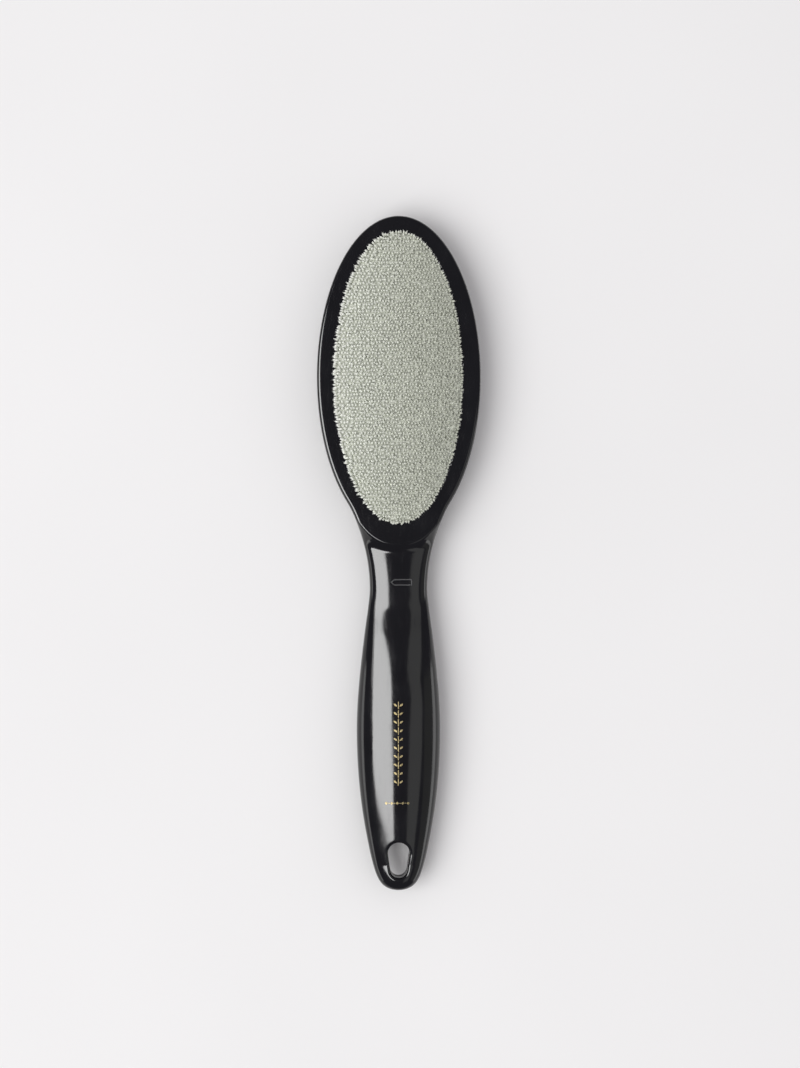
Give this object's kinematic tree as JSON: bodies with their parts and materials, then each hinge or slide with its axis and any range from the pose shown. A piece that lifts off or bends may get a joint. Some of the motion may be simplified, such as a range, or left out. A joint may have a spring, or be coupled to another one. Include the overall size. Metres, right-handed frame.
{
  "type": "clothes brush",
  "caption": "Double-sided clothes brush: flat oval head with a short-pile velour pad on each face, and a swelling handle with a hanging hole.",
  "frame": {"origin": "centre of the bounding box in X and Y, at the face of the rear pad that the brush lies on", "axes": "+Y along the handle to the head, +Z out of the front pad, X across the brush"},
  "size_m": [0.063, 0.26, 0.018],
  "materials": {
    "black_plastic": "moulded, polished black",
    "velour": "short leaning pile, grey-green",
    "foam": "open-cell foam sheet",
    "adhesive": "double-sided film",
    "gold_foil": "hot-stamped foil"
  },
  "bodies": {
    "root": {"front_shell": "black_plastic", "rear_shell": "black_plastic", "front_velour_pad": "velour", "rear_velour_pad": "velour", "front_foam_layer": "foam", "rear_foam_layer": "foam", "front_adhesive_film": "adhesive", "rear_adhesive_film": "adhesive"}
  },
  "joints": []
}
